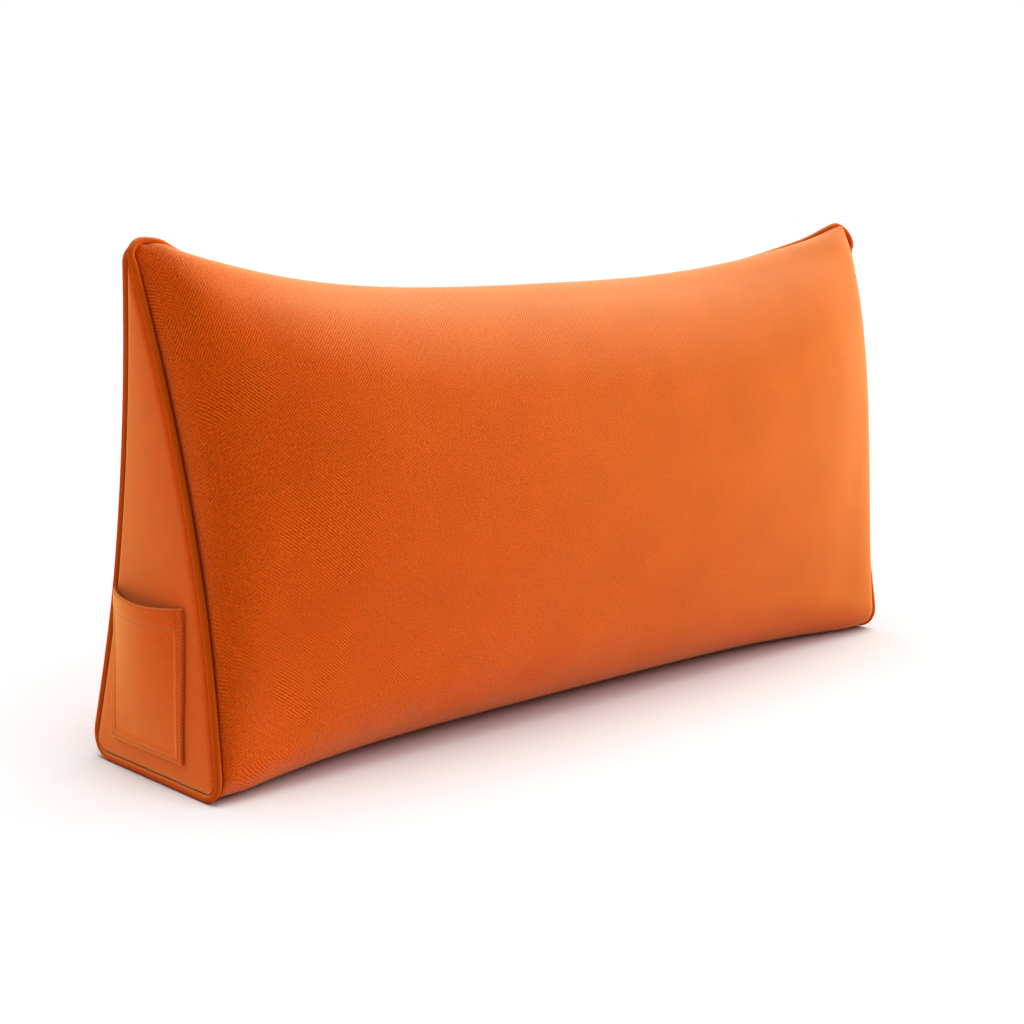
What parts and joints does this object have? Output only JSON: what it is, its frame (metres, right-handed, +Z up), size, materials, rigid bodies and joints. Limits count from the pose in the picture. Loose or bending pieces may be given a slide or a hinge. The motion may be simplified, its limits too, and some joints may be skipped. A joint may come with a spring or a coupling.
{
  "type": "wedge back cushion",
  "caption": "Wedge-shaped back cushion in orange short-pile velvet, with piped seams, triangular end panels and a patch pocket on its left end. It stands on its own flat base.",
  "frame": {"origin": "on the floor plane under the middle of the cushion's whole outline seen from above", "axes": "+X along the cushion from the pocket end to the plain end, +Y from the front face to the back face, +Z up"},
  "size_m": [1.0603, 0.263, 0.5082],
  "materials": {
    "wrap_velvet": "matt short pile",
    "end_velvet": "matt short pile",
    "piping_velvet": "matt short pile",
    "pocket_velvet": "matt short pile"
  },
  "bodies": {
    "root": {"cushion_body": "wrap_velvet", "end_panel_left": "end_velvet", "end_panel_right": "end_velvet", "piping": "piping_velvet", "pocket_left": "pocket_velvet"}
  },
  "joints": []
}
